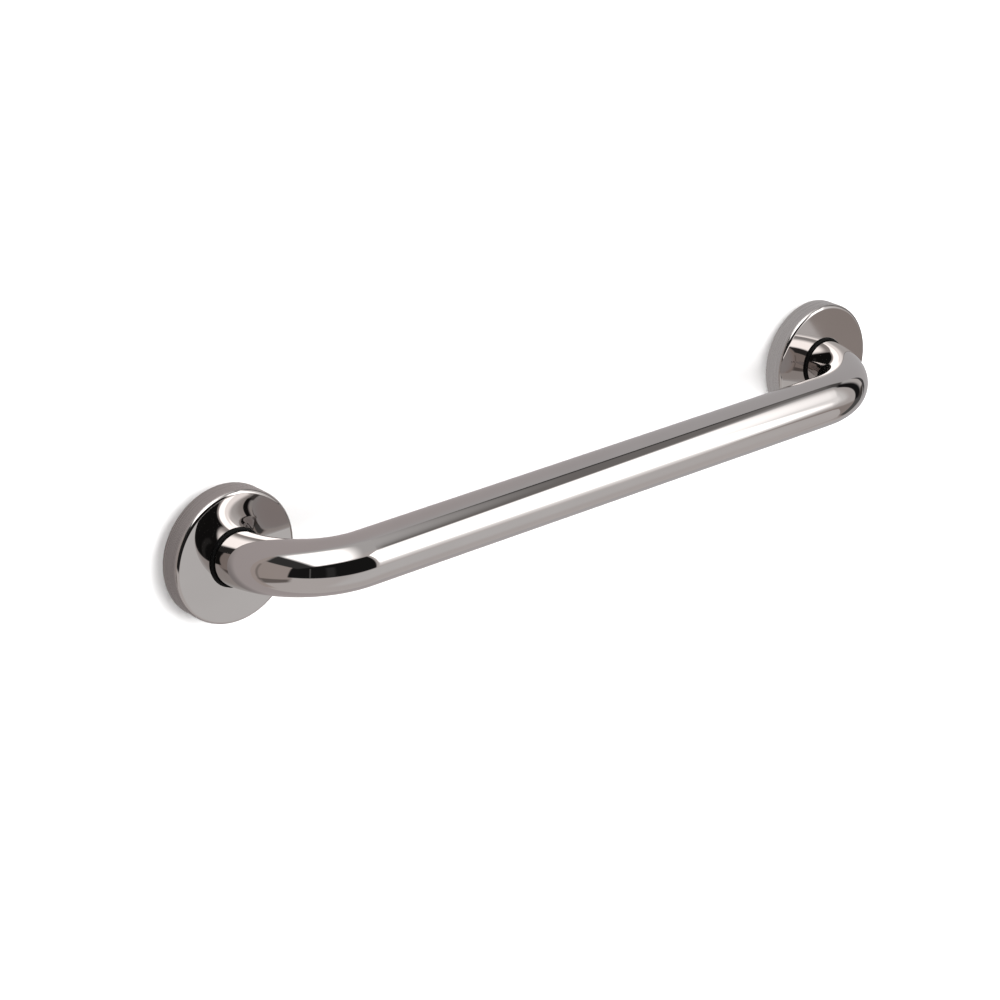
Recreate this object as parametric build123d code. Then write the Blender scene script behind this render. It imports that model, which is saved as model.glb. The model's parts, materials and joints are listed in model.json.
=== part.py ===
from build123d import *
import math
import os

# Grab rail. One bent stainless tube is welded into two round mounting flanges. Each flange takes
# three wall screws and is hidden by a pressed cover, which a rubber ring centres on the tube.
#
# Millimetres. The wall is the plane y = 0, and the rail stands out from it towards -Y.
# +X runs along the rail and +Z is up. The origin is on the wall, midway between the flanges.
#
# Parts of one end are drawn in that end's own axes and then placed: x along the rail, y up,
# z out of the wall, with z = 0 on the wall.

# Tube
CENTRE_DISTANCE = 457.2  # between the two flange axes, 18 in
TUBE_DIAMETER = 31.75  # 1 1/4 in
TUBE_WALL = 1.2
PROJECTION = 60.325  # from the wall to the bar's centreline, so that the bar's front is 3 in out
BEND_RADIUS = 50.8  # of the centreline, 2 in

# Mounting flange and its weld
FLANGE_DIAMETER = 71.0
FLANGE_THICKNESS = 3.0
FLANGE_CHAMFER = 0.4
FLANGE_BORE_CLEARANCE = 0.05
WELD_LEG = 3.0
WELD_CROWN = 0.56  # share of the leg that the crown of the bead stands out, each way

# Wall screws, ST6.3 (No. 14) pan heads, and their M6 washers
SCREW_COUNT = 3
SCREW_CIRCLE_DIAMETER = 54.0
FIRST_SCREW_ANGLE = 90.0  # the first screw is straight above the tube
SCREW_HOLE_DIAMETER = 7.0
SCREW_LENGTH = 19.0
HEAD_DIAMETER = 12.0
HEAD_HEIGHT = 4.6
HEAD_ROUNDING = 2.4
NECK_DIAMETER = 5.8
THREAD_DIAMETER = 6.3
THREAD_ROOT_DIAMETER = 4.9
THREAD_PITCH = 1.8
THREAD_CREST = 0.2
THREAD_ANGLE = 60.0
POINT_LENGTH = 4.4
TIP_RADIUS = 0.3
RECESS_SPAN = 6.4
RECESS_SLOT = 1.5
RECESS_DEPTH = 2.8
WASHER_DIAMETER = 12.5
WASHER_BORE = 6.4
WASHER_THICKNESS = 1.6
WASHER_CHAMFER = 0.2

# Pressed cover
COVER_DIAMETER = 78.0
COVER_DEPTH = 13.0
COVER_SHEET = 0.9
COVER_ROUNDING = 2.5
COVER_HOLE_DIAMETER = 34.2
COVER_HOLE_ROUNDING = 0.3

# Rubber ring: a rounded collar in the cover's hole and a lip behind the sheet
SEAL_STAND_OUT = 1.6  # of the collar from the cover's face
SEAL_ROUNDING = 0.8
SEAL_LIP_WIDTH = 1.8
SEAL_LIP_THICKNESS = 1.3
SEAL_CLEARANCE = 0.1  # to the tube, so that the cover can slide round the bend

TUBE_RADIUS = TUBE_DIAMETER / 2
STUB_LENGTH = PROJECTION - BEND_RADIUS  # straight tube between the wall and the bend
HEAD_SEAT = FLANGE_THICKNESS + WASHER_THICKNESS
SIDES = {"left": -1, "right": 1}
ON_WALL = (Align.CENTER, Align.CENTER, Align.MIN)


def place(side, shape):
    """Move a shape from an end's own axes to that end of the rail."""
    return Location((side * CENTRE_DISTANCE / 2, 0, 0), (90, 0, 0)) * shape


def disc(diameter, thickness, height=0):
    """A round plate about z, with its wall side at this height."""
    return Pos(0, 0, height) * Cylinder(diameter / 2, thickness, align=ON_WALL)


def outer_rim(shape):
    """The circle furthest from the wall, and the largest one at that height."""
    return shape.edges().filter_by(GeomType.CIRCLE).group_by(Axis.Z)[-1].sort_by(SortBy.RADIUS)[-1]


def at_screws(shape):
    """One copy of a shape at each screw position of a flange."""
    ring = PolarLocations(SCREW_CIRCLE_DIAMETER / 2, SCREW_COUNT, start_angle=FIRST_SCREW_ANGLE)
    return [position * shape for position in ring.locations]


def revolved(outline):
    """Turn a closed outline of (radius, height) points about z."""
    corners = [(radius, 0, height) for radius, height in outline]
    return revolve(make_face(Polyline(*corners, close=True)), Axis.Z)


def rail_tube():
    """The grip: a round tube, bent back to the wall at both ends and open there."""
    half = CENTRE_DISTANCE / 2
    corners = [(-half, 0, 0), (-half, -PROJECTION, 0), (half, -PROJECTION, 0), (half, 0, 0)]
    path = FilletPolyline(*corners, radius=BEND_RADIUS)
    section = Circle(TUBE_RADIUS) - Circle(TUBE_RADIUS - TUBE_WALL)
    return sweep(Plane(path @ 0, z_dir=path % 0) * section, path=path)


def mounting_flange():
    """The round plate that the tube is welded into, with its screw holes."""
    plate = disc(FLANGE_DIAMETER, FLANGE_THICKNESS)
    plate = chamfer(outer_rim(plate), FLANGE_CHAMFER)
    plate -= disc(TUBE_DIAMETER + 2 * FLANGE_BORE_CLEARANCE, FLANGE_THICKNESS)
    for hole in at_screws(disc(SCREW_HOLE_DIAMETER, FLANGE_THICKNESS)):
        plate -= hole
    return plate


def weld_bead():
    """The fillet weld in the corner between the flange's face and the tube."""
    root = (TUBE_RADIUS, 0, FLANGE_THICKNESS)
    toe = (TUBE_RADIUS + WELD_LEG, 0, FLANGE_THICKNESS)
    top = (TUBE_RADIUS, 0, FLANGE_THICKNESS + WELD_LEG)
    crown = (TUBE_RADIUS + WELD_CROWN * WELD_LEG, 0, FLANGE_THICKNESS + WELD_CROWN * WELD_LEG)
    outline = [Line(root, toe), ThreePointArc(toe, crown, top), Line(top, root)]
    return revolve(make_face(outline), Axis.Z)


def snap_cover():
    """The pressed cup that hides the flange, with a round hole for the tube."""
    cup = disc(COVER_DIAMETER, COVER_DEPTH)
    cup = fillet(outer_rim(cup), COVER_ROUNDING)
    inside = disc(COVER_DIAMETER - 2 * COVER_SHEET, COVER_DEPTH - COVER_SHEET)
    inside = fillet(outer_rim(inside), COVER_ROUNDING - COVER_SHEET)
    cup -= inside
    cup -= disc(COVER_HOLE_DIAMETER, COVER_DEPTH)
    hole_edge = cup.edges().filter_by(GeomType.CIRCLE).group_by(Axis.Z)[-1].sort_by(SortBy.RADIUS)[0]
    return fillet(hole_edge, COVER_HOLE_ROUNDING)


def cover_seal(side):
    """The black ring in the cover's hole. Its bore follows the bend, so it clears the tube all round."""
    lip_height = COVER_DEPTH - COVER_SHEET - SEAL_LIP_THICKNESS
    lip = disc(COVER_HOLE_DIAMETER + 2 * SEAL_LIP_WIDTH, SEAL_LIP_THICKNESS, lip_height)
    collar = disc(COVER_HOLE_DIAMETER, COVER_SHEET + SEAL_STAND_OUT, lip_height + SEAL_LIP_THICKNESS)
    collar = fillet(outer_rim(collar), SEAL_ROUNDING)
    bend = Torus(BEND_RADIUS, TUBE_RADIUS + SEAL_CLEARANCE)
    bend_centre = Location((-side * BEND_RADIUS, 0, STUB_LENGTH), (90, 0, 0))
    return lip + collar - bend_centre * bend


def thread_outline():
    """Half section of the screw below its head, as (radius, height) points from the head down."""
    flank = (THREAD_DIAMETER - THREAD_ROOT_DIAMETER) / 2 * math.tan(math.radians(THREAD_ANGLE / 2))
    end = HEAD_SEAT - SCREW_LENGTH

    def tapered(diameter, height):
        return diameter / 2 * min(1, TIP_RADIUS / THREAD_DIAMETER + (height - end) / POINT_LENGTH)

    points = [(0, HEAD_SEAT), (NECK_DIAMETER / 2, HEAD_SEAT), (NECK_DIAMETER / 2, 0)]
    height = 0
    while height - 2 * flank - THREAD_CREST > end:
        points.append((tapered(THREAD_ROOT_DIAMETER, height), height))
        height -= flank
        points.append((tapered(THREAD_DIAMETER, height), height))
        height -= THREAD_CREST
        points.append((tapered(THREAD_DIAMETER, height), height))
        height -= flank
        points.append((tapered(THREAD_ROOT_DIAMETER, height), height))
        height -= THREAD_PITCH - THREAD_CREST - 2 * flank
    points.append((TIP_RADIUS, end))
    points.append((0, end))
    return points


def wall_screw():
    """Pan-head self-tapping screw with a cross recess. Its thread is drawn as rings at the real pitch."""
    head = disc(HEAD_DIAMETER, HEAD_HEIGHT, HEAD_SEAT)
    head = fillet(outer_rim(head), HEAD_ROUNDING)
    recess_floor = HEAD_SEAT + HEAD_HEIGHT - RECESS_DEPTH
    cross = Box(RECESS_SPAN, RECESS_SLOT, RECESS_DEPTH, align=ON_WALL)
    cross += Box(RECESS_SLOT, RECESS_SPAN, RECESS_DEPTH, align=ON_WALL)
    cross &= Cone(RECESS_SLOT, RECESS_SPAN / 2, RECESS_DEPTH, align=ON_WALL)
    return head + revolved(thread_outline()) - Pos(0, 0, recess_floor) * cross


def washer():
    """Plain washer between a screw's head and the flange."""
    ring = disc(WASHER_DIAMETER, WASHER_THICKNESS, FLANGE_THICKNESS)
    ring = chamfer(outer_rim(ring), WASHER_CHAMFER)
    return ring - disc(WASHER_BORE, WASHER_THICKNESS, FLANGE_THICKNESS)


def save(name, shape):
    export_step(shape, f"parts/{name}.step")


os.makedirs("parts", exist_ok=True)
save("rail_tube", rail_tube())
for end, side in SIDES.items():
    save(f"mounting_flange_{end}", place(side, mounting_flange()))
    save(f"weld_bead_{end}", place(side, weld_bead()))
    save(f"snap_cover_{end}", place(side, snap_cover()))
    save(f"cover_seal_{end}", place(side, cover_seal(side)))
    for number, screw in enumerate(at_screws(wall_screw()), start=1):
        save(f"screw_{end}_{number}", place(side, screw))
    for number, ring in enumerate(at_screws(washer()), start=1):
        save(f"washer_{end}_{number}", place(side, ring))
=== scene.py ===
import bpy
import bmesh
import json
import math
from mathutils import Matrix, Vector


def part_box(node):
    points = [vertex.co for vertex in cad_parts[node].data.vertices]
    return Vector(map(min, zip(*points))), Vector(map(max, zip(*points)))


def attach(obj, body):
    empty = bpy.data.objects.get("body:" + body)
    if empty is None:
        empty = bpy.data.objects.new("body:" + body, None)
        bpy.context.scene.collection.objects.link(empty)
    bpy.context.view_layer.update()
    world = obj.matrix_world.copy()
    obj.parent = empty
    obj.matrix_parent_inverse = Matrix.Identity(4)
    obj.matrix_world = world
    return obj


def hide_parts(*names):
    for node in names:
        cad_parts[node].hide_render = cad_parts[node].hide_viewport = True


# A wall-mounted grab rail. Metres, in the frame's own axes: the wall is y = 0, the rail stands out
# towards -Y, +X runs along it and +Z is up.

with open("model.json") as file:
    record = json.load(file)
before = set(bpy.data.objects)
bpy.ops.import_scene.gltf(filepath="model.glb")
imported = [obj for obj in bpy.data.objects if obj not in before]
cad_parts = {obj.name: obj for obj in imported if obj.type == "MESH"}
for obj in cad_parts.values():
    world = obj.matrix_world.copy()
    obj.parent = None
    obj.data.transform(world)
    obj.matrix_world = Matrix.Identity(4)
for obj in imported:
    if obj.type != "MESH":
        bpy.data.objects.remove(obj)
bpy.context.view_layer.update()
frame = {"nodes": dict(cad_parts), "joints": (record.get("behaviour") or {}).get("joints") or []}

# Sizes read from the frame
TUBE_LOW, TUBE_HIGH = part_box("rail_tube")
TUBE_RADIUS = (TUBE_HIGH[2] - TUBE_LOW[2]) / 2
END_X = TUBE_HIGH[0] - TUBE_RADIUS  # from the middle of the rail to each flange's axis
PROJECTION = -TUBE_LOW[1] - TUBE_RADIUS  # from the wall to the bar's centreline
BEND_CENTRE_X = max(joint["pos_m"][0] for joint in frame["joints"])
BEND_RADIUS = END_X - BEND_CENTRE_X
STUB = PROJECTION - BEND_RADIUS  # straight tube between the wall and the bend
COVER_LOW, COVER_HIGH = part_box("snap_cover_right")
COVER_RADIUS = (COVER_HIGH[2] - COVER_LOW[2]) / 2
COVER_DEPTH = -COVER_LOW[1]
SEAL_LOW, SEAL_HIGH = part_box("cover_seal_right")
SEAL_LIP_RADIUS = (SEAL_HIGH[2] - SEAL_LOW[2]) / 2
SEAL_FACE = -SEAL_LOW[1]
SEAL_BACK = -SEAL_HIGH[1]
FLANGE_FACE = -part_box("mounting_flange_right")[0][1]
WASHER_FACE = -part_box("washer_right_1")[0][1]
SCREW_TOP = -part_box("screw_right_1")[0][1]
SCREW_TIP = -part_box("screw_right_1")[1][1]
HEAD_RADIUS = (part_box("screw_right_1")[1][0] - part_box("screw_right_1")[0][0]) / 2
WELD_TOP = -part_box("weld_bead_right")[0][1]

# Sizes that the frame's boxes don't show
MM = 0.001
TUBE_WALL = 1.2 * MM
SHEET = 0.9 * MM
COVER_ROUNDING = 2.5 * MM
POLISH_END = 40  # degrees round the rounding from the rim, where the polished face meets the satin rim
COVER_HOLE_RADIUS = 17.1 * MM
HOLE_ROUNDING = 0.3 * MM
SEAL_CLEARANCE = 0.1 * MM
SEAL_LIP_ROUNDING = 0.25 * MM
SEAL_ROUNDING = 0.8 * MM
THREAD_RADIUS = 3.15 * MM
THREAD_ROOT = 2.45 * MM
THREAD_PITCH = 1.8 * MM
NECK_RADIUS = 2.9 * MM
POINT_LENGTH = 4.4 * MM
HEAD_ROUNDING = 2.4 * MM
RECESS_DEPTH = 2.8 * MM

# How finely the meshes are divided
TUBE_SEGMENTS = 192
COVER_SEGMENTS = 256
SEAL_SEGMENTS = 192
WELD_SEGMENTS = 528
SCREW_SEGMENTS = 72
MERGE_DISTANCE = 1e-7
SHARP_DEGREES = 35  # edges that turn by more than this look sharp

SIDES = {"left": -1, "right": 1}
SCREW_NUMBERS = (1, 2, 3)


# ---------------------------------------------------------------- mesh building


def new_piece(name, mesh, body, replaced):
    """Add a mesh to the scene as a piece that rides on a body and stands for a CAD node."""
    piece = bpy.data.objects.new(name, mesh)
    bpy.context.scene.collection.objects.link(piece)
    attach(piece, body)
    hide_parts(replaced)
    return piece


def shade_smooth(mesh, sharp_degrees=SHARP_DEGREES):
    mesh.polygons.foreach_set("use_smooth", [True] * len(mesh.polygons))
    mesh.set_sharp_from_angle(angle=math.radians(sharp_degrees))


def finish_mesh(name, bm, materials, sharp_degrees=SHARP_DEGREES):
    """Turn a bmesh into a smooth-shaded mesh with consistent outward normals."""
    bmesh.ops.remove_doubles(bm, verts=bm.verts, dist=MERGE_DISTANCE)
    bmesh.ops.recalc_face_normals(bm, faces=bm.faces)
    mesh = bpy.data.meshes.new(name)
    bm.to_mesh(mesh)
    bm.free()
    for material in materials:
        mesh.materials.append(material)
    shade_smooth(mesh, sharp_degrees)
    return mesh


def skin_rings(bm, rings, closed_along, material_of=lambda row: 0):
    """Join rings of equal length, each a closed loop of points, into quads."""
    rows = [[bm.verts.new(point) for point in ring] for ring in rings]
    count = len(rows) if closed_along else len(rows) - 1
    for row in range(count):
        near, far = rows[row], rows[(row + 1) % len(rows)]
        for i in range(len(near)):
            j = (i + 1) % len(near)
            face = bm.faces.new((near[i], near[j], far[j], far[i]))
            face.material_index = material_of(row)
    return rows


def arc(centre, radius, start, end, steps):
    """Points (radius, height) along an arc, with angles in degrees."""
    points = []
    for i in range(steps + 1):
        angle = math.radians(start + (end - start) * i / steps)
        points.append((centre[0] + radius * math.cos(angle), centre[1] + radius * math.sin(angle)))
    return points


def lathe(outline, segments):
    """Rings about z for an outline of (radius, height) points, one ring per point."""
    angles = [2 * math.pi * i / segments for i in range(segments)]
    return [
        [Vector((radius * math.cos(angle), radius * math.sin(angle), height)) for angle in angles]
        for radius, height in outline
    ]


def on_end(side, point):
    """From an end's own axes (x along the rail, y up, z out of the wall) to the frame's."""
    return Vector((side * END_X + point[0], -point[2], point[1]))


# ---------------------------------------------------------------- tube


def tube_stations():
    """Centre and outward direction of each cross-section, from the left wall end to the right one."""
    stub_steps, bend_steps, bar_steps = 4, 56, 64
    stations = []
    for i in range(stub_steps):
        stations.append((Vector((-END_X, -STUB * i / stub_steps, 0)), Vector((-1, 0, 0))))
    for i in range(bend_steps + 1):
        turn = math.pi / 2 * i / bend_steps
        out = Vector((-math.cos(turn), -math.sin(turn), 0))
        stations.append((Vector((-BEND_CENTRE_X, -STUB, 0)) + out * BEND_RADIUS, out))
    for i in range(1, bar_steps):
        x = -BEND_CENTRE_X + 2 * BEND_CENTRE_X * i / bar_steps
        stations.append((Vector((x, -PROJECTION, 0)), Vector((0, -1, 0))))
    left_end = stations[: stub_steps + bend_steps + 1]
    right_end = [(Vector((-c[0], c[1], 0)), Vector((-o[0], o[1], 0))) for c, o in reversed(left_end)]
    return stations + right_end


def tube_ring(station, radius):
    centre, out = station
    ring = []
    for i in range(TUBE_SEGMENTS):
        angle = 2 * math.pi * i / TUBE_SEGMENTS
        ring.append(centre + out * (radius * math.cos(angle)) + Vector((0, 0, radius * math.sin(angle))))
    return ring


def make_tube(material, inside):
    """The bent grip: outer wall, inner wall and the two cut ends."""
    stations = tube_stations()
    outer = [tube_ring(s, TUBE_RADIUS) for s in stations]
    inner = [tube_ring(s, TUBE_RADIUS - TUBE_WALL) for s in reversed(stations)]
    bm = bmesh.new()
    skin_rings(bm, outer + inner, True, lambda row: int(row >= len(outer) - 1))
    mesh = finish_mesh("grip_tube", bm, [material, inside])
    return new_piece("grip_tube", mesh, "rail", "rail_tube")


# ---------------------------------------------------------------- covers and seals


def cover_outline():
    """Closed outline of the pressed cup, and for each point the finish from there to the next one.

    Finish 0 is polished, 1 is the satin rim and 2 the unpolished inside.
    """
    polished, satin, inside = 0, 1, 2
    hole_steps, face_steps, rim_steps, rounding_steps = 6, 8, 6, 8
    front, rim = COVER_DEPTH, COVER_RADIUS
    inner_front, inner_rim = COVER_DEPTH - SHEET, COVER_RADIUS - SHEET
    guard = 0.12 * MM  # a ring this close to each rounding keeps the flats flat in the shading
    hem = 0.15 * MM
    points, finish = [], []

    def add(stretch, index):
        points.extend(stretch)
        finish.extend([index] * len(stretch))

    hole_centre = (COVER_HOLE_RADIUS + HOLE_ROUNDING, front - HOLE_ROUNDING)
    add(arc(hole_centre, HOLE_ROUNDING, 180, 90, hole_steps), polished)
    face_start = COVER_HOLE_RADIUS + HOLE_ROUNDING
    face_end = rim - COVER_ROUNDING
    add([(face_start + guard, front)], polished)
    face_step = (face_end - face_start) / face_steps
    add([(face_start + face_step * i, front) for i in range(1, face_steps)], polished)
    add([(face_end - guard, front)], polished)
    rounding_centre = (face_end, front - COVER_ROUNDING)
    add(arc(rounding_centre, COVER_ROUNDING, 90, POLISH_END, rounding_steps)[:-1], polished)
    add(arc(rounding_centre, COVER_ROUNDING, POLISH_END, 0, rounding_steps), satin)
    add([(rim, front - COVER_ROUNDING - guard)], satin)
    rim_step = (front - COVER_ROUNDING) / rim_steps
    add([(rim, rim_step * i) for i in range(rim_steps - 1, 0, -1)], satin)
    add(arc((rim - hem, hem), hem, 0, -90, steps=3), satin)
    add(arc((inner_rim + hem, hem), hem, -90, -180, steps=3), inside)
    corner = COVER_ROUNDING - SHEET
    add([(inner_rim, inner_front - corner - guard)], inside)
    add(arc((inner_rim - corner, inner_front - corner), corner, 0, 90, steps=5), inside)
    add([(inner_rim - corner - guard, inner_front), (COVER_HOLE_RADIUS + guard, inner_front)], inside)
    add([(COVER_HOLE_RADIUS, inner_front)], inside)
    return points, finish


def make_cover(end, side, polished, brushed, inside):
    outline, finish = cover_outline()
    rings = [[on_end(side, p) for p in ring] for ring in lathe(outline, COVER_SEGMENTS)]
    bm = bmesh.new()
    skin_rings(bm, rings, True, lambda row: finish[row])
    mesh = finish_mesh(f"cover_{end}", bm, [polished, brushed, inside])
    return new_piece(f"cover_{end}", mesh, f"cover_{end}", f"snap_cover_{end}")


def bore_radius(side, angle, height):
    """How far a seal's bore is from the flange's axis: the surface of the bent tube, plus clearance."""
    low, high = 0.8 * TUBE_RADIUS, 1.3 * TUBE_RADIUS  # well inside and well outside it
    halvings = 40
    for _ in range(halvings):
        middle = (low + high) / 2
        x = side * middle * math.cos(angle) + BEND_RADIUS
        from_bend = math.hypot(x, height - STUB) - BEND_RADIUS
        from_centreline = math.hypot(from_bend, middle * math.sin(angle))
        if from_centreline < TUBE_RADIUS + SEAL_CLEARANCE:
            low = middle
        else:
            high = middle
    return (low + high) / 2


def make_seal(end, side, rubber):
    """The black ring: a collar in the cover's hole, a lip behind the sheet, and a rounded inner edge."""
    lip_front = COVER_DEPTH - SHEET
    edge, crown = SEAL_LIP_ROUNDING, SEAL_ROUNDING
    bore_steps, edge_steps = 4, 5
    bore_top = SEAL_FACE - edge
    bore = [("bore", SEAL_BACK + (bore_top - SEAL_BACK) * i / bore_steps) for i in range(bore_steps + 1)]
    rounded = [("round", math.pi / 2 * i / edge_steps) for i in range(1, edge_steps + 1)]
    outer = arc((COVER_HOLE_RADIUS - crown, SEAL_FACE - crown), crown, 90, 0, steps=8)
    outer += [(COVER_HOLE_RADIUS, lip_front), (SEAL_LIP_RADIUS - edge, lip_front)]
    outer += arc((SEAL_LIP_RADIUS - edge, lip_front - edge), edge, 90, 0, steps=4)
    outer += [(SEAL_LIP_RADIUS, SEAL_BACK)]
    rows = bore + rounded + [("fixed", point) for point in outer]
    rings = []
    for kind, value in rows:
        ring = []
        for i in range(SEAL_SEGMENTS):
            angle = 2 * math.pi * i / SEAL_SEGMENTS
            if kind == "bore":
                radius, height = bore_radius(side, angle, value), value
            elif kind == "round":
                height = bore_top + edge * math.sin(value)
                radius = bore_radius(side, angle, bore_top) + edge * (1 - math.cos(value))
            else:
                radius, height = value
            ring.append(on_end(side, (radius * math.cos(angle), radius * math.sin(angle), height)))
        rings.append(ring)
    bm = bmesh.new()
    skin_rings(bm, rings, True)
    mesh = finish_mesh(f"seal_{end}", bm, [rubber])
    return new_piece(f"seal_{end}", mesh, f"cover_{end}", f"cover_seal_{end}")


# ---------------------------------------------------------------- weld


def make_weld(end, side, material):
    """A fillet weld laid as overlapping ripples around the tube."""
    leg = WELD_TOP - FLANGE_FACE
    ripples, crown_steps = 44, 8
    bulge, ripple_bulge = 0.17 * leg, 0.05 * leg
    ripple_reach = 0.07  # share of the leg by which a ripple's crest reaches past the dip before it

    def section(angle):
        """The bead's rounded face at one angle, from its toe on the flange to its top on the tube."""
        phase = (angle * ripples / (2 * math.pi)) % 1
        scallop = math.sqrt(1 - (2 * phase - 1) ** 2)
        size = leg * (1 - ripple_reach + ripple_reach * scallop)
        points = []
        for i in range(crown_steps + 1):
            share = i / crown_steps
            swell = math.sin(math.pi * share) * (bulge + ripple_bulge * scallop) / math.sqrt(2)
            radius = TUBE_RADIUS + size * (1 - share) + swell
            points.append((radius, FLANGE_FACE + size * share + swell))
        return points

    rings = [[] for _ in range(crown_steps + 2)]
    for i in range(WELD_SEGMENTS):
        angle = 2 * math.pi * i / WELD_SEGMENTS
        for row, (radius, height) in enumerate(section(angle) + [(TUBE_RADIUS, FLANGE_FACE)]):
            rings[row].append(on_end(side, (radius * math.cos(angle), radius * math.sin(angle), height)))
    bm = bmesh.new()
    skin_rings(bm, rings, True)
    mesh = finish_mesh(f"weld_{end}", bm, [material], sharp_degrees=50)
    return new_piece(f"weld_{end}", mesh, "rail", f"weld_bead_{end}")


# ---------------------------------------------------------------- screws


def thread_profile(turns_up):
    """0 at the root to 1 at the crest, for a position along the thread in turns."""
    phase = turns_up % 1
    from_crest = min(phase, 1 - phase)
    crest, flank = 0.06, 0.225  # in turns
    return max(0.0, min(1.0, 1 - (from_crest - crest) / flank))


def screw_body():
    """The pan head, neck and helical thread of one screw, about z, with z = 0 on the wall."""
    centre_dot, guard, edge = 0.02 * MM, 0.1 * MM, 0.2 * MM
    neck_end = 0.3 * MM
    head_side = SCREW_TOP - HEAD_ROUNDING
    outline = [(centre_dot, SCREW_TOP), (HEAD_RADIUS - HEAD_ROUNDING - guard, SCREW_TOP)]
    outline += arc((HEAD_RADIUS - HEAD_ROUNDING, head_side), HEAD_ROUNDING, 90, 0, steps=14)
    outline += [(HEAD_RADIUS, WASHER_FACE + edge + guard)]
    outline += arc((HEAD_RADIUS - edge, WASHER_FACE + edge), edge, 0, -90, steps=3)
    outline += [(NECK_RADIUS, WASHER_FACE), (NECK_RADIUS, neck_end), (THREAD_ROOT, 0)]
    rings = lathe(outline, SCREW_SEGMENTS)
    steps = 150
    tip_share = 0.04  # of the full radius, left at the point
    run_in_share = 0.06  # of the thread's length, over which it rises from the neck
    for i in range(1, steps + 1):
        height = SCREW_TIP * i / steps
        taper = min(1.0, tip_share + (height - SCREW_TIP) / POINT_LENGTH)
        run_in = min(1.0, i / (run_in_share * steps))
        ring = []
        for k in range(SCREW_SEGMENTS):
            angle = 2 * math.pi * k / SCREW_SEGMENTS
            crest = thread_profile(height / THREAD_PITCH - k / SCREW_SEGMENTS) * run_in
            radius = (THREAD_ROOT + (THREAD_RADIUS - THREAD_ROOT) * crest) * taper
            ring.append(Vector((radius * math.cos(angle), radius * math.sin(angle), height)))
        rings.append(ring)
    bm = bmesh.new()
    rows = skin_rings(bm, rings, False)
    bm.faces.new(rows[0])
    bm.faces.new(reversed(rows[-1]))
    return finish_mesh("screw_body", bm, [])


def recess_cutter():
    """A tapered cross that sinks into the head."""
    bm = bmesh.new()
    reach_top, reach_floor = 3.3 * MM, 1.5 * MM
    width_top, width_floor = 0.85 * MM, 0.6 * MM
    above = 0.4 * MM
    for turn in (0, math.pi / 2):
        rings = []
        for height, reach, width in (
            (SCREW_TOP + above, reach_top, width_top),
            (SCREW_TOP - RECESS_DEPTH, reach_floor, width_floor),
        ):
            corners = [(reach, width), (-reach, width), (-reach, -width), (reach, -width)]
            spin = Matrix.Rotation(turn, 3, "Z")
            rings.append([spin @ Vector((x, y, height)) for x, y in corners])
        rows = skin_rings(bm, rings, False)
        bm.faces.new(rows[0])
        bm.faces.new(reversed(rows[1]))
    bmesh.ops.recalc_face_normals(bm, faces=bm.faces)
    mesh = bpy.data.meshes.new("recess_cutter")
    bm.to_mesh(mesh)
    bm.free()
    return mesh


def cut(mesh, cutter_mesh, name):
    """One mesh minus another, as a new mesh."""
    scene = bpy.context.scene
    body = bpy.data.objects.new("cut_body", mesh)
    cutter = bpy.data.objects.new("cut_cutter", cutter_mesh)
    scene.collection.objects.link(body)
    scene.collection.objects.link(cutter)
    modifier = body.modifiers.new("recess", "BOOLEAN")
    modifier.operation = "DIFFERENCE"
    modifier.solver = "EXACT"
    modifier.use_self = True
    modifier.object = cutter
    graph = bpy.context.evaluated_depsgraph_get()
    result = bpy.data.meshes.new_from_object(body.evaluated_get(graph))
    result.name = name
    bpy.data.objects.remove(body)
    bpy.data.objects.remove(cutter)
    return result


def make_screws(material):
    mesh = cut(screw_body(), recess_cutter(), "screw")
    mesh.materials.clear()
    mesh.materials.append(material)
    shade_smooth(mesh)
    z_to_out = Matrix(((1, 0, 0), (0, 0, -1), (0, 1, 0))).to_4x4()
    tightened = 47.0  # degrees between the way one screw's cross ended up and the next one's
    index = 0
    for end in SIDES:
        for number in SCREW_NUMBERS:
            low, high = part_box(f"screw_{end}_{number}")
            centre = Vector(((low[0] + high[0]) / 2, 0, (low[2] + high[2]) / 2))
            own = mesh.copy()
            spin = Matrix.Rotation(math.radians(tightened * index), 4, "Z")
            own.transform(Matrix.Translation(centre) @ z_to_out @ spin)
            new_piece(f"wall_screw_{end}_{number}", own, "rail", f"screw_{end}_{number}")
            index += 1


# ---------------------------------------------------------------- materials


NOISE_RANGE = (0.3, 0.7)  # most of a noise pattern's values lie between these


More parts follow.
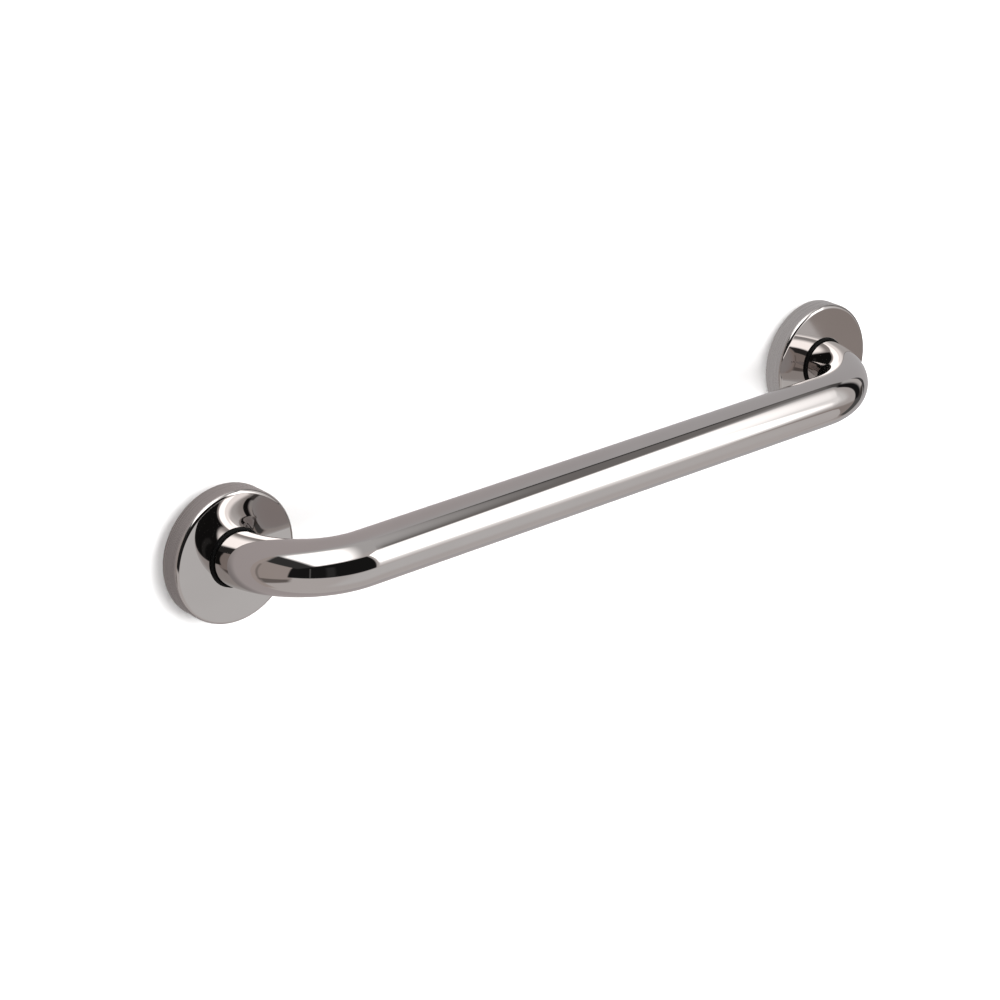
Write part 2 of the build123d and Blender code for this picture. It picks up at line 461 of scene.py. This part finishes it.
class Nodes:
    """A short way to write a material's node tree."""

    def __init__(self, tree):
        self.tree = tree
        tree.nodes.clear()

    def add(self, kind, inputs=None, **settings):
        node = self.tree.nodes.new(kind)
        for key, value in settings.items():
            setattr(node, key, value)
        for key, value in (inputs or {}).items():
            self.put(node.inputs[key], value)
        return node

    def put(self, socket, value):
        if isinstance(value, bpy.types.NodeSocket):
            self.tree.links.new(value, socket)
        else:
            socket.default_value = value

    def math(self, operation, a, b):
        return self.add("ShaderNodeMath", {0: a, 1: b}, operation=operation).outputs[0]

    def ramp(self, value, low, high, to_low=0.0, to_high=1.0):
        """A smooth step: to_low where the value is below low, to_high where it is above high."""
        inputs = {"Value": value, "From Min": low, "From Max": high, "To Min": to_low, "To Max": to_high}
        return self.add("ShaderNodeMapRange", inputs, interpolation_type="SMOOTHSTEP").outputs[0]

    def spread(self, pattern, to_low=0.0, to_high=1.0):
        """A noise pattern, which lies mostly within NOISE_RANGE, spread over the range asked for."""
        return self.ramp(pattern, *NOISE_RANGE, to_low, to_high)

    def noise(self, vector, scale, detail=2.0, roughness=0.5):
        inputs = {"Vector": vector, "Scale": scale, "Detail": detail, "Roughness": roughness}
        return self.add("ShaderNodeTexNoise", inputs).outputs["Fac"]

    def stretched(self, vector, scale):
        inputs = {"Vector": vector, "Scale": scale}
        return self.add("ShaderNodeMapping", inputs, vector_type="POINT").outputs[0]

    def position(self):
        return self.add("ShaderNodeTexCoord").outputs["Object"]

    def mix(self, factor, a, b):
        node = self.add("ShaderNodeMix", {0: factor, 6: a, 7: b}, data_type="RGBA")
        return node.outputs[2]

    def bump(self, height, distance, strength):
        inputs = {"Height": height, "Distance": distance, "Strength": strength}
        return self.add("ShaderNodeBump", inputs).outputs[0]

    def surface(self, shader):
        self.add("ShaderNodeOutputMaterial", {"Surface": shader})


def metal(name, dark, light, pattern, rough, normal=None):
    """A metal whose colour runs from dark to light along a pattern. The last three are functions."""
    material = bpy.data.materials.new(name)
    material.use_nodes = True
    nodes = Nodes(material.node_tree)
    place = nodes.position()
    inputs = {
        "Metallic": 1.0,
        "Base Color": nodes.mix(pattern(nodes, place), dark, light),
        "Roughness": rough(nodes, place),
    }
    if normal is not None:
        inputs["Normal"] = normal(nodes, place)
    nodes.surface(nodes.add("ShaderNodeBsdfPrincipled", inputs).outputs[0])
    return material


def polished_steel(name):
    """Mirror-polished stainless steel: a warm grey with faint polishing cloud and hairline wipe marks."""

    def cloud(nodes, place):
        return nodes.spread(nodes.noise(place, scale=22.0, detail=3.0))

    def rough(nodes, place):
        mirror, extra = 0.018, 0.012
        clouds = nodes.noise(place, scale=35.0, detail=4.0, roughness=0.6)
        patches = nodes.ramp(clouds, 0.35, 0.75, to_high=extra)
        hairlines = nodes.noise(nodes.stretched(place, (60.0, 900.0, 900.0)), scale=1.0)
        wipes = nodes.ramp(hairlines, 0.62, 0.8, to_high=extra)
        return nodes.math("ADD", nodes.math("ADD", patches, wipes), mirror)

    return metal(name, (0.595, 0.568, 0.556, 1), (0.615, 0.588, 0.576, 1), cloud, rough)


def brushed_rim(name):
    """The cover's side: fine satin brushing that runs round it."""

    def streaks(nodes, place):
        along_rim = nodes.stretched(place, (25.0, 5200.0, 25.0))
        return nodes.spread(nodes.noise(along_rim, scale=1.0, detail=3.0, roughness=0.65))

    def rough(nodes, place):
        return nodes.ramp(streaks(nodes, place), 0.0, 1.0, 0.24, 0.36)

    def grooves(nodes, place):
        along_rim = nodes.stretched(place, (18.0, 4200.0, 18.0))
        fine = nodes.noise(along_rim, scale=1.0, detail=3.0, roughness=0.7)
        return nodes.bump(fine, distance=0.02 * MM, strength=0.6)

    return metal(name, (0.50, 0.475, 0.462, 1), (0.66, 0.635, 0.62, 1), streaks, rough, grooves)


def drawn_sheet(name):
    """Unpolished inside of the cover and the tube: dull, with a fine grain and a few stains."""

    def stains(nodes, place):
        return nodes.ramp(nodes.noise(place, scale=60.0, detail=5.0, roughness=0.6), 0.35, 0.7)

    def rough(nodes, place):
        return nodes.spread(nodes.noise(place, scale=180.0, detail=3.0), 0.30, 0.46)

    def grain(nodes, place):
        return nodes.bump(nodes.noise(place, scale=1500.0), distance=0.03 * MM, strength=0.5)

    return metal(name, (0.46, 0.44, 0.425, 1), (0.58, 0.56, 0.545, 1), stains, rough, grain)


def rolled_plate(name):
    """The hidden flange: cold-rolled plate with a straight grain along the rail."""

    def grain(nodes, place):
        along_rail = nodes.stretched(place, (40.0, 40.0, 1800.0))
        return nodes.spread(nodes.noise(along_rail, scale=1.0, detail=3.0, roughness=0.6))

    def rough(nodes, place):
        return nodes.ramp(grain(nodes, place), 0.0, 1.0, 0.26, 0.42)

    def texture(nodes, place):
        along_rail = nodes.stretched(place, (30.0, 30.0, 1500.0))
        return nodes.bump(nodes.noise(along_rail, scale=1.0), distance=0.03 * MM, strength=0.5)

    return metal(name, (0.47, 0.455, 0.44, 1), (0.60, 0.585, 0.57, 1), grain, rough, texture)


def weld_metal(name):
    """Bright weld metal with straw and blue heat tint that changes along the bead."""
    material = bpy.data.materials.new(name)
    material.use_nodes = True
    nodes = Nodes(material.node_tree)
    place = nodes.position()
    tint = nodes.spread(nodes.noise(place, scale=90.0))
    colours = nodes.add("ShaderNodeValToRGB", {"Fac": tint})
    stops = colours.color_ramp.elements
    stops[0].color = (0.52, 0.50, 0.48, 1)
    stops[1].color = (0.34, 0.33, 0.42, 1)
    straw_place = 0.55
    straw = stops.new(straw_place)
    straw.color = (0.56, 0.44, 0.28, 1)
    inputs = {
        "Metallic": 1.0,
        "Base Color": colours.outputs[0],
        "Roughness": nodes.spread(nodes.noise(place, scale=700.0, detail=3.0), 0.22, 0.38),
        "Normal": nodes.bump(nodes.noise(place, scale=1800.0, detail=3.0), 0.03 * MM, strength=0.5),
    }
    nodes.surface(nodes.add("ShaderNodeBsdfPrincipled", inputs).outputs[0])
    return material


def fastener_steel(name):
    """Plain stainless screws and washers, with small marks from making and handling."""

    def marks(nodes, place):
        return nodes.ramp(nodes.noise(place, scale=500.0, detail=4.0, roughness=0.6), 0.35, 0.7)

    def rough(nodes, place):
        return nodes.spread(nodes.noise(place, scale=900.0, detail=3.0), 0.16, 0.30)

    def dents(nodes, place):
        return nodes.bump(nodes.noise(place, scale=1300.0), distance=0.02 * MM, strength=0.4)

    return metal(name, (0.58, 0.57, 0.56, 1), (0.70, 0.69, 0.68, 1), marks, rough, dents)


def black_rubber_and_painted_shade(name):
    """The seal ring: matt black elastomer with a fine moulded texture and a trace of dust. Its near-black
    colour, darker than rubber, is partly painted shade for the gap round the tube.
    """
    material = bpy.data.materials.new(name)
    material.use_nodes = True
    nodes = Nodes(material.node_tree)
    place = nodes.position()
    dust = nodes.ramp(nodes.noise(place, scale=400.0, detail=4.0, roughness=0.7), 0.5, 0.8)
    inputs = {
        # Near-black base colour: the ring's own black, darkened further as painted shade in the gap round
        # the tube.
        "Base Color": nodes.mix(dust, (0.003, 0.003, 0.0032, 1), (0.007, 0.0068, 0.0066, 1)),
        "Roughness": nodes.spread(nodes.noise(place, scale=900.0, detail=3.0), 0.48, 0.62),
        "Specular IOR Level": 0.12,
        "Normal": nodes.bump(nodes.noise(place, scale=2600.0), 0.02 * MM, strength=0.4),
    }
    nodes.surface(nodes.add("ShaderNodeBsdfPrincipled", inputs).outputs[0])
    return material


# ---------------------------------------------------------------- studio

# Light and dark cards round the rail, which its mirror finish shows. Each is a four-sided window on one
# face of a box round the rail, and its corners are pairs of angles in degrees from the middle of that
# face. On the front face they go towards the right end and up, on the left and right faces out from the
# wall and up, and on the face above towards the right end and out from the wall. A card's sides are
# blurred by its last number, in degrees, or by one number each. Later cards cover earlier ones.
WARM = (1.0, 0.95, 0.93)
BROWN = (1.0, 0.88, 0.83)
NEUTRAL = (1.0, 0.99, 0.985)
WHITE = (1.0, 1.0, 1.0, 1)
SURROUND = 0.60  # brightness where there is no card
CARDS = [
    # name, face, corners, brightness, tint, blur
    ("ceiling", "above", ((-70, -60), (70, -60), (60, 46), (-60, 46)), 0.56, NEUTRAL, 6),
    ("low_front", "front", ((-8, -62), (60, -62), (43, -25), (4, -25)), 0.67, NEUTRAL, (8, 6, 2, 8)),
    ("left_gap", "left", ((-12, -60), (6, -60), (6, 62), (-12, 62)), 0.47, BROWN, (5, 1, 3, 1)),
    ("left_card", "left", ((5, -26), (38, -26), (38, 46), (5, 46)), 0.43, BROWN, 1.2),
    ("left_seam", "left", ((4, -30), (6.5, -30), (6.5, 30), (4, 30)), 0.28, BROWN, 1),
    ("low_left", "left", ((5, -41), (34, -38), (36, -25), (5, -23)), 0.18, BROWN, (3, 3, 2, 3)),
    ("room", "front", ((-56, -22), (30, -22), (24.5, 31), (-53, 31)), 0.012, NEUTRAL, (1.5, 1, 1, 1)),
    ("room_corner", "front", ((-53, 28), (-30, 28), (-36, 45), (-50, 51)), 0.014, NEUTRAL, (1, 3, 3, 1)),
    ("window_far", "front", ((-36, -20), (-34.8, -20), (-34.2, 24), (-35.4, 24)), 0.11, NEUTRAL, 0.5),
    ("window_near", "front", ((-20, -20), (-12, -20), (-12, 18), (-20, 20)), 0.035, NEUTRAL, 2),
    ("left_flag", "above", ((-50, 9), (-25, 1), (-44, 60), (-62, 60)), 0.045, NEUTRAL, (2, 2, 2, 1.5)),
    ("softbox", "above", ((-24, 5), (14, 7), (17, 57), (-41.5, 57)), 2.6, NEUTRAL, (5, 10, 4, 4.5)),
    ("right_panel", "right", ((18.5, -20), (48, -20), (50, 47), (20, 45)), 0.58, WARM, (4, 1, 1.5, 1)),
    ("panel_glow", "right", ((33, -4), (50, -6), (50, 47), (29, 44)), 0.85, NEUTRAL, (8, 1, 2, 7)),
    ("panel_edge", "right", ((43, 4), (50, 4), (50, 47), (41, 44)), 1.15, NEUTRAL, (8, 1, 2, 4)),
    ("strip_foot", "right", ((48, -21), (58, -22), (59, 8), (47, 8)), 1.35, NEUTRAL, (9, 1, 1, 1.5)),
    ("right_strip", "right", ((48, -6), (59, -7), (62.5, 50), (47, 46)), 3.0, NEUTRAL, (6, 1, 1, 1)),
    ("panel_top", "right", ((47.5, 24), (52, 26), (52, 46.5), (27, 46)), 2.0, NEUTRAL, (2, 1, 1, 3.5)),
    ("flag_top", "right", ((1, 37), (19, 39), (15, 48), (-2, 49)), 0.10, WARM, (2, 2, 2, 2)),
    ("right_flag", "right", ((5, -26), (17, -26), (20, 41), (8, 41)), 0.012, NEUTRAL, (5, 1, 2, 3)),
    ("right_flag_foot", "right", ((-4, -26), (14, -26), (5, -2), (-3, -2)), 0.07, BROWN, (4, 3, 3, 3)),
    ("low_right", "right", ((2, -46), (17.2, -46), (48.4, -20), (14, -18)), 0.35, BROWN, (4, 0.03, 3, 3)),
    ("dark_foot", "right", ((2, -42), (20, -43), (16, -17), (-3, -17)), 0.10, NEUTRAL, (2, 1.5, 3, 3)),
    ("upper_band", "right", ((-4, 48), (50, 45.5), (45, 50.5), (-4, 56)), 0.22, WARM, (1.2, 1, 2.5, 3)),
    ("band_end", "right", ((-6, 48.5), (4, 48.5), (4, 54.5), (-6, 55.5)), 0.05, NEUTRAL, (1.5, 2, 1.5, 2)),
]

# The wall. The camera sees it white and lit by the lamps. The mirror finish sees a painted reflection in
# its place: a grey glow with painted shade and a painted dark part. Metres.
WALL_SEEN = 0.88
# Colours of the painted reflection: the grey the wall glows in the mirror finish, from the left end to the
# right end.
WALL_PAINTED_REFLECTION_LEFT = (0.490, 0.448, 0.446, 1)
WALL_PAINTED_REFLECTION_RIGHT = (0.515, 0.503, 0.508, 1)
PAINTED_SHADE_CENTRE = (-END_X - 0.025, 0, -0.02)  # painted shade in the wall's reflection, centred here, left of the left flange
PAINTED_SHADE_RADII = (0.035, 0.085)  # from full painted shade to none
PAINTED_SHADE_LEVEL = 0.6  # brightness in the painted shade, as a share of the rest
REFLECTION_DARK_START = (0.73, 0.78)  # the painted reflection of the wall turns to a painted dark between these places along the rail
REFLECTION_DARK_SLOPE = 1.6  # how much further out the painted dark starts for each metre up
REFLECTION_DARK_FOOT = (-0.30, -0.22)  # the reflection stays light below these heights
REFLECTION_DARK_LEVEL = 0.15  # brightness in the painted dark, as a share of the rest
FLOOR_SEEN = 0.86

KEY_POWER = 105.0
KEY_PLACE = (1.35, -1.9, -0.25)
KEY_DIAMETER = 2.4


def card_corner(face, first, second):
    """The direction of a card's corner, from its two angles on a face."""
    a, b = math.tan(math.radians(first)), math.tan(math.radians(second))
    directions = {"front": (a, -1, b), "left": (-1, -a, b), "right": (1, -a, b), "above": (a, -b, 1)}
    return Vector(directions[face])


def card_window(nodes, direction, face, corners, blur):
    """1 inside a card's four sides and 0 outside them."""
    points = [card_corner(face, *corner) for corner in corners]
    middle = sum(points, Vector((0, 0, 0)))
    blurs = blur if isinstance(blur, tuple) else (blur,) * len(points)
    window = 1.0
    for i, point in enumerate(points):
        side = point.cross(points[(i + 1) % len(points)]).normalized()
        if side.dot(middle) < 0:
            side.negate()
        dot = nodes.add("ShaderNodeVectorMath", {0: direction, 1: side}, operation="DOT_PRODUCT")
        reach = math.sin(math.radians(blurs[i]))
        window = nodes.math("MULTIPLY", window, nodes.ramp(dot.outputs["Value"], -reach, reach))
    return window


def tinted(brightness, tint):
    return tuple(brightness * channel for channel in tint) + (1,)


def set_world():
    """The cards on their surround. The camera itself sees plain white past the wall."""
    world = bpy.data.worlds.new("studio")
    bpy.context.scene.world = world
    world.use_nodes = True
    nodes = Nodes(world.node_tree)
    direction = nodes.add("ShaderNodeTexCoord").outputs["Generated"]
    colour = tinted(SURROUND, WARM)
    for _, face, corners, brightness, tint, blur in CARDS:
        window = card_window(nodes, direction, face, corners, blur)
        colour = nodes.mix(window, colour, tinted(brightness, tint))
    camera_ray = nodes.add("ShaderNodeLightPath").outputs["Is Camera Ray"]
    seen = nodes.mix(camera_ray, colour, WHITE)
    background = nodes.add("ShaderNodeBackground", {"Color": seen, "Strength": 1.0})
    nodes.add("ShaderNodeOutputWorld", {"Surface": background.outputs[0]})


def wall_material():
    """Plain white wall, lit for the camera. It is clear from behind. The mirror finish sees a painted
    reflection instead: a grey glow with painted shade and a painted dark part.
    """
    material = bpy.data.materials.new("studio_wall")
    material.use_nodes = True
    material.cycles.emission_sampling = "NONE"
    nodes = Nodes(material.node_tree)
    place = nodes.add("ShaderNodeSeparateXYZ", {0: nodes.position()})
    along, height = place.outputs[0], place.outputs[2]
    # grey is the colour of the painted reflection, running from left to right.
    grey = nodes.mix(nodes.ramp(along, -END_X, END_X), WALL_PAINTED_REFLECTION_LEFT, WALL_PAINTED_REFLECTION_RIGHT)
    # Painted shade: the reflected wall is darker round a point left of the left flange.
    from_shade = {0: nodes.position(), 1: PAINTED_SHADE_CENTRE}
    distance = nodes.add("ShaderNodeVectorMath", from_shade, operation="DISTANCE").outputs["Value"]
    shade = nodes.ramp(distance, *PAINTED_SHADE_RADII, to_low=PAINTED_SHADE_LEVEL)
    # Painted dark: past a slanting line towards the right end, the reflected wall goes dark.
    lean = nodes.math("MULTIPLY", nodes.math("MAXIMUM", height, 0.0), REFLECTION_DARK_SLOPE)
    painted_dark = nodes.ramp(nodes.math("SUBTRACT", along, lean), *REFLECTION_DARK_START)
    painted_dark = nodes.math("MULTIPLY", painted_dark, nodes.ramp(height, *REFLECTION_DARK_FOOT))
    shade = nodes.math("MULTIPLY", shade, nodes.ramp(painted_dark, 0.0, 1.0, 1.0, REFLECTION_DARK_LEVEL))
    # Painted reflection: for glossy rays the wall glows, in place of its lit look.
    glow = nodes.add("ShaderNodeEmission", {"Color": grey, "Strength": shade})
    diffuse = nodes.add("ShaderNodeBsdfDiffuse", {"Color": (WALL_SEEN,) * 3 + (1,)})
    reflected = nodes.add("ShaderNodeLightPath").outputs["Is Glossy Ray"]
    front = nodes.add("ShaderNodeMixShader", {0: reflected, 1: diffuse.outputs[0], 2: glow.outputs[0]})
    clear = nodes.add("ShaderNodeBsdfTransparent")
    behind = nodes.add("ShaderNodeNewGeometry").outputs["Backfacing"]
    shader = nodes.add("ShaderNodeMixShader", {0: behind, 1: front.outputs[0], 2: clear.outputs[0]})
    nodes.surface(shader.outputs[0])
    return material


def floor_material():
    material = bpy.data.materials.new("studio_floor")
    material.use_nodes = True
    nodes = Nodes(material.node_tree)
    nodes.surface(nodes.add("ShaderNodeBsdfDiffuse", {"Color": (FLOOR_SEEN,) * 3 + (1,)}).outputs[0])
    return material


def stage_plane(name, corners, material):
    mesh = bpy.data.meshes.new(name)
    mesh.from_pydata(corners, [], [(0, 1, 2, 3)])
    mesh.materials.append(material)
    plane = bpy.data.objects.new(name, mesh)
    bpy.context.scene.collection.objects.link(plane)
    return plane


def set_stage():
    """A white wall just proud of the flanges' backs, and a pale floor well below."""
    side, top, floor, out = 3.0, 2.2, -0.75, 3.0
    y = -0.05 * MM  # so that the wall hides the plane of the flanges' backs
    wall = [(-side, y, floor), (side, y, floor), (side, y, top), (-side, y, top)]
    stage_plane("studio_wall", wall, wall_material())
    ground = [(-side, -out, floor), (side, -out, floor), (side, out, floor), (-side, out, floor)]
    plane = stage_plane("studio_floor", ground, floor_material())
    plane.visible_glossy = False


def add_key_light():
    """Lights the wall from the right and a little below. It doesn't show in reflections."""
    light = bpy.data.lights.new("key", "AREA")
    light.shape = "DISK"
    light.size = KEY_DIAMETER
    light.energy = KEY_POWER
    lamp = bpy.data.objects.new("key", light)
    lamp.location = KEY_PLACE
    lamp.rotation_euler = (-lamp.location).to_track_quat("-Z", "Y").to_euler()
    lamp.visible_glossy = False
    bpy.context.scene.collection.objects.link(lamp)


# ---------------------------------------------------------------- camera

# Degrees, metres, and millimetres for the lens and the sensor
CAMERA_AZIMUTH = -42.67
CAMERA_ELEVATION = 20.02
CAMERA_ROLL = 0.30
CAMERA_DISTANCE = 1.7547
CAMERA_SIDEWAYS = 0.0691
CAMERA_UPWARDS = 0.0589
CAMERA_LENS = 105.55
CAMERA_SENSOR = 36.0
CAMERA_SHIFT = (-0.1554, -0.1522)  # the view is a crop from one side of a larger picture


def set_camera():
    """Looks down on the rail from its left end, at a distance from the middle of the wall plane."""
    azimuth = math.radians(CAMERA_AZIMUTH)
    elevation = math.radians(CAMERA_ELEVATION)
    flat = math.cos(elevation)
    back = Vector((math.sin(azimuth) * flat, -math.cos(azimuth) * flat, math.sin(elevation)))
    right = Vector((0, 0, 1)).cross(back).normalized()
    up = back.cross(right)
    turned = Matrix.Rotation(math.radians(CAMERA_ROLL), 3, back)
    right, up = turned @ right, turned @ up
    data = bpy.data.cameras.new("camera")
    data.lens = CAMERA_LENS
    data.sensor_width = CAMERA_SENSOR
    data.shift_x, data.shift_y = CAMERA_SHIFT
    camera = bpy.data.objects.new("camera", data)
    axes = Matrix((right, up, back)).transposed().to_4x4()
    place = back * CAMERA_DISTANCE + right * CAMERA_SIDEWAYS + up * CAMERA_UPWARDS
    camera.matrix_world = Matrix.Translation(place) @ axes
    bpy.context.scene.collection.objects.link(camera)
    bpy.context.scene.camera = camera


# ---------------------------------------------------------------- the rail


def dress_node(name, material):
    """A CAD node whose shape is right keeps it and gets a better material."""
    node = frame["nodes"][name]
    node.data.materials.clear()
    node.data.materials.append(material)


def make_rail():
    mirror = polished_steel("mirror_steel")
    inside = drawn_sheet("drawn_sheet")
    brushed = brushed_rim("brushed_rim")
    plate = rolled_plate("rolled_plate")
    weld = weld_metal("weld_metal")
    fastener = fastener_steel("fastener_steel")
    rubber = black_rubber_and_painted_shade("seal_rubber")
    make_tube(mirror, inside)
    for end, side in SIDES.items():
        make_cover(end, side, mirror, brushed, inside)
        make_seal(end, side, rubber)
        make_weld(end, side, weld)
        dress_node(f"mounting_flange_{end}", plate)
        for number in SCREW_NUMBERS:
            dress_node(f"washer_{end}_{number}", fastener)
    make_screws(fastener)


set_camera()
set_world()
set_stage()
add_key_light()
make_rail()
bpy.context.scene.view_settings.view_transform = "Standard"
